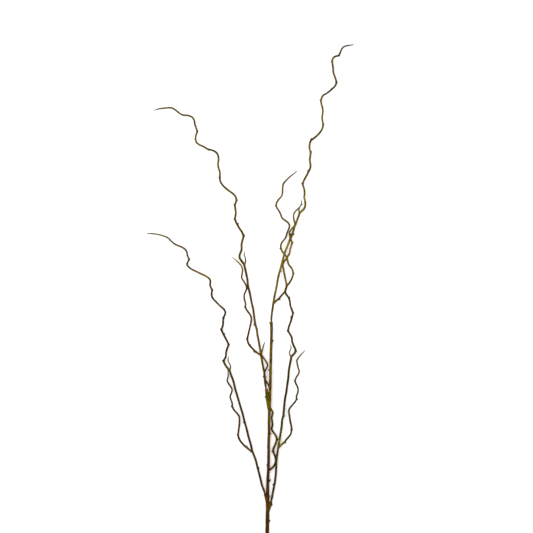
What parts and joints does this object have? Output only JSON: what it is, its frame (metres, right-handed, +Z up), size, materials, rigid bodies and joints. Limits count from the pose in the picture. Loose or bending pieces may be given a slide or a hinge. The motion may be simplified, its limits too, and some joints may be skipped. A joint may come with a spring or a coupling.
{
  "type": "curly willow stems",
  "caption": "Bare curly willow spray lying down: a cut main stem with collars that hold lighter stems, each with a twisting tip and thin side twigs.",
  "frame": {"origin": "middle of the footprint, on the surface that the spray lies on", "axes": "+Y from the cut end towards the tips, +X to the right seen from above, +Z up from the surface"},
  "size_m": [0.5188, 1.3028, 0.0296],
  "materials": {
    "brown_bark": "matte",
    "olive_bark": "matte"
  },
  "bodies": {
    "root": {"main_stem": "brown_bark", "left_stem": "olive_bark", "right_stem": "olive_bark", "upper_left_stem": "olive_bark", "top_stem": "olive_bark"}
  },
  "joints": []
}
